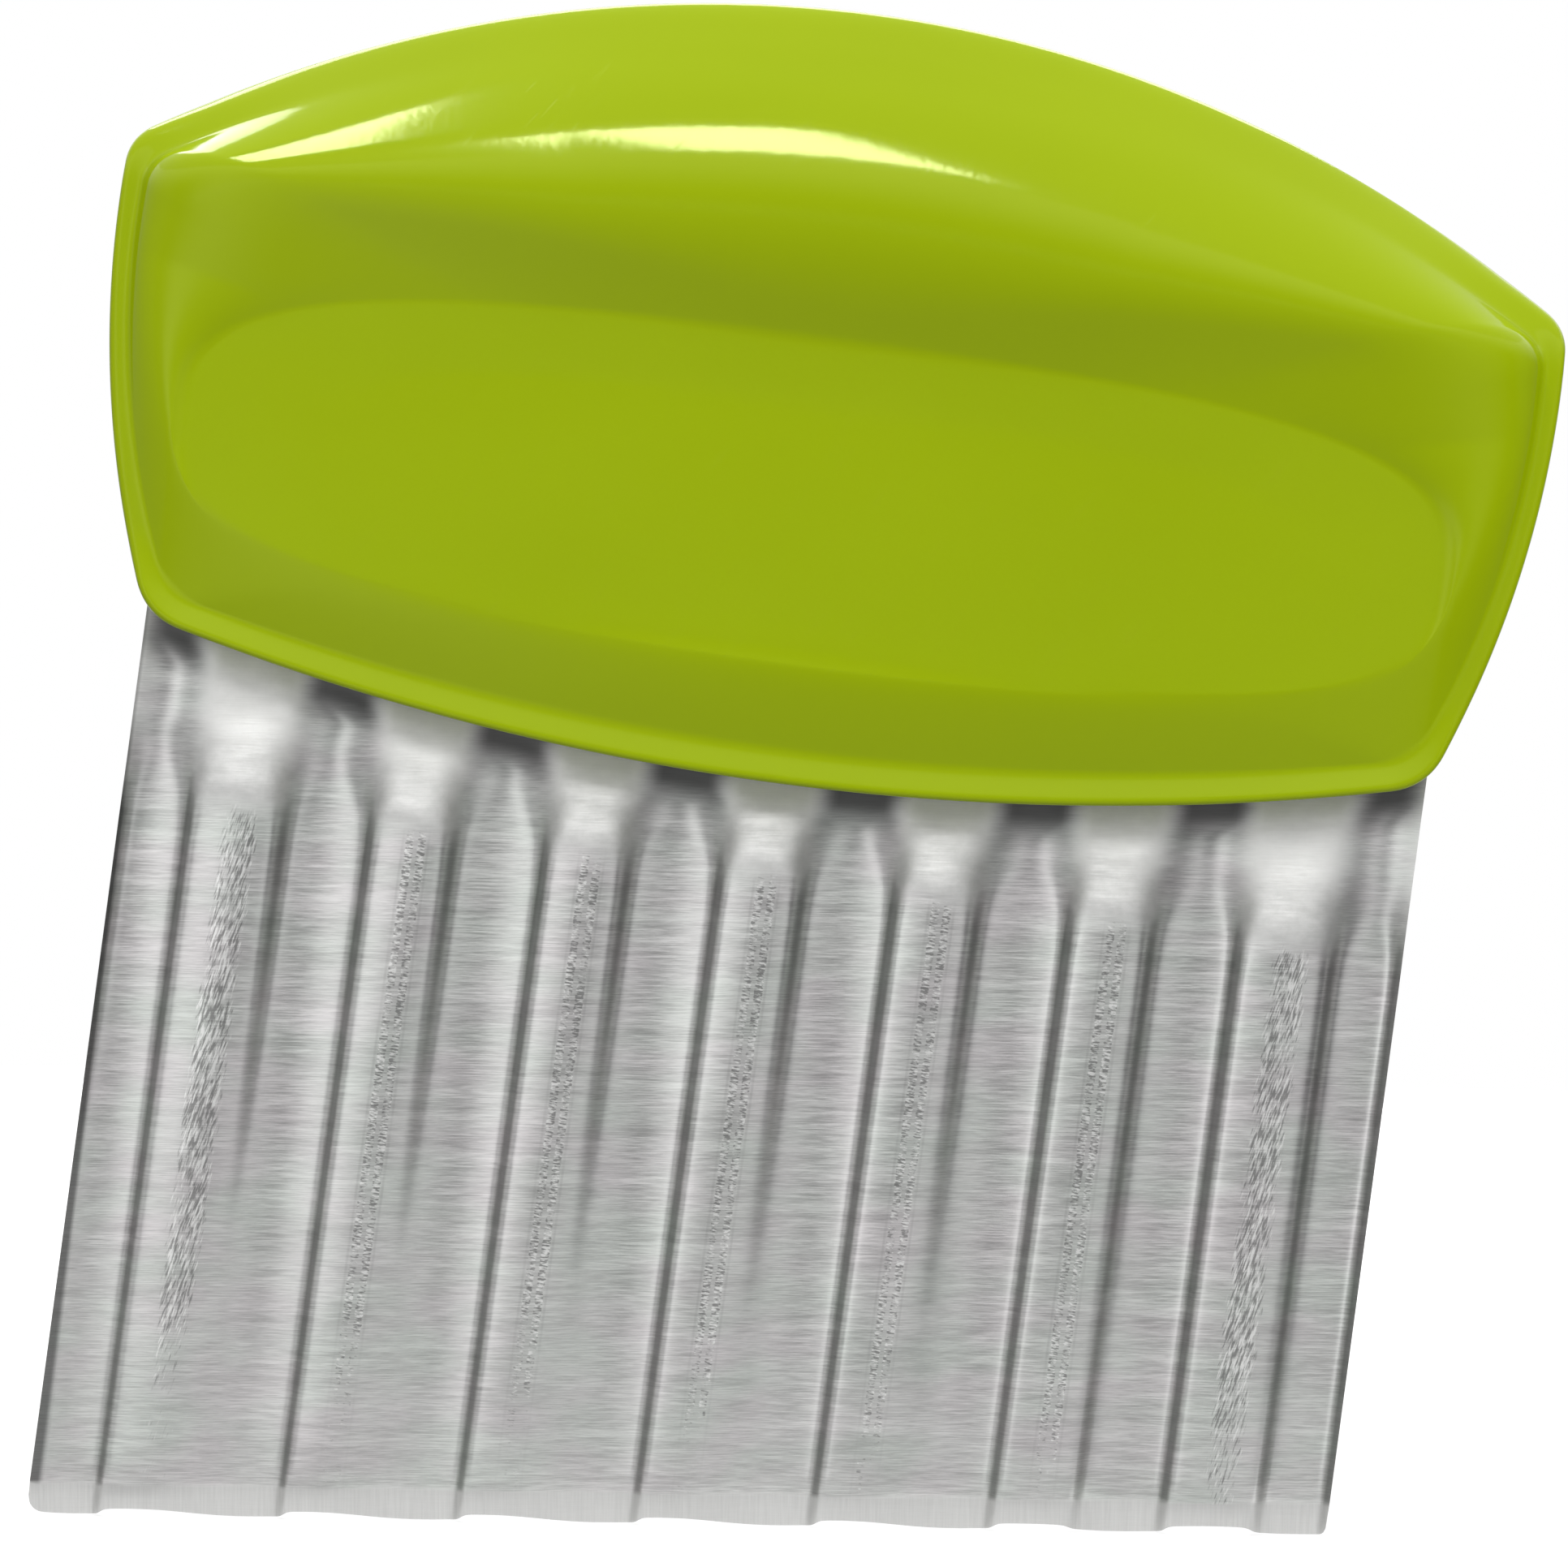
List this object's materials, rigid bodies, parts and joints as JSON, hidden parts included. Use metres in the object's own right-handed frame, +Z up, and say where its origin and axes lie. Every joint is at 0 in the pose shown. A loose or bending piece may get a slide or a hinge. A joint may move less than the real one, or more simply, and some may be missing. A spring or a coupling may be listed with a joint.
{
  "type": "crinkle cutter",
  "caption": "Hand-held crinkle cutter: a corrugated steel blade with a slanted ground edge, clamped between two glossy plastic shells that form a barrel-shaped handle with gripping dishes.",
  "frame": {"origin": "middle of the foot of the bounding box, on the board that the cutting edge stands on", "axes": "+Z up from the cutting edge to the handle, +X along the cutting edge, front face towards -Y"},
  "size_m": [0.113, 0.0166, 0.1135],
  "materials": {
    "blade_steel": "stainless sheet brushed across the ridges, with a matte ground band at the cutting edge",
    "handle_plastic": "glossy lime green moulded plastic"
  },
  "bodies": {
    "root": {"blade": "blade_steel", "front_shell": "handle_plastic", "rear_shell": "handle_plastic"}
  },
  "joints": []
}
